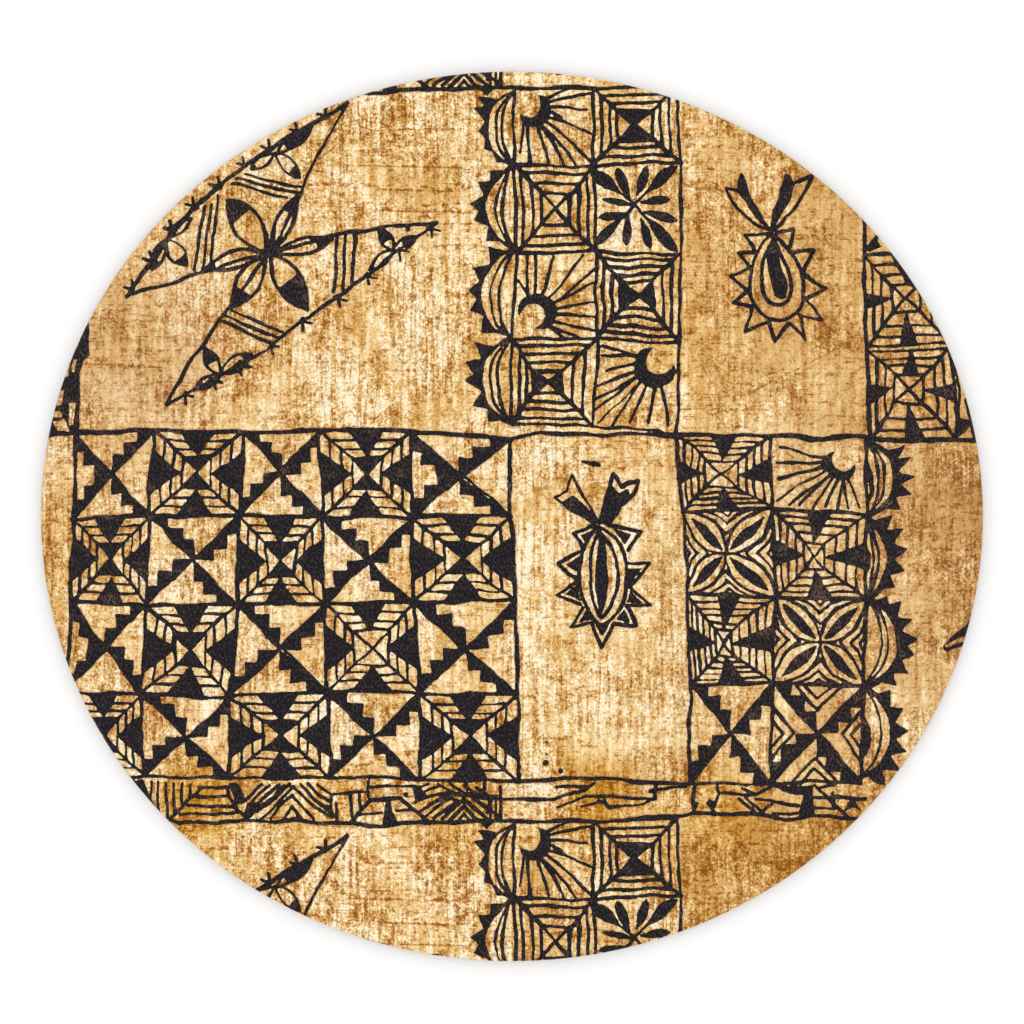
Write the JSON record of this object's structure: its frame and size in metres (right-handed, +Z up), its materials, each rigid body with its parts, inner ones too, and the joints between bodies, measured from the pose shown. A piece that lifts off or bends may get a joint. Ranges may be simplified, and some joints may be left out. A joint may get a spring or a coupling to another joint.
{
  "type": "oval tapa cloth mat",
  "caption": "Flat oval mat of tapa cloth: one sheet with a cleanly cut, softly rounded edge, printed on its face with black traditional bark cloth motifs over a mottled tan ground.",
  "frame": {"origin": "middle of the flat underside, where the mat rests", "axes": "+Z up out of the printed face, +X along the oval's long axis to the right of the print, +Y to the top of the print"},
  "size_m": [0.203, 0.1916, 0.003],
  "materials": {
    "printed_cloth": "matte fine-grained cloth, mottled tan with brown fibre streaks and a black painted print"
  },
  "bodies": {
    "root": {"tapa_cloth": "printed_cloth"}
  },
  "joints": []
}
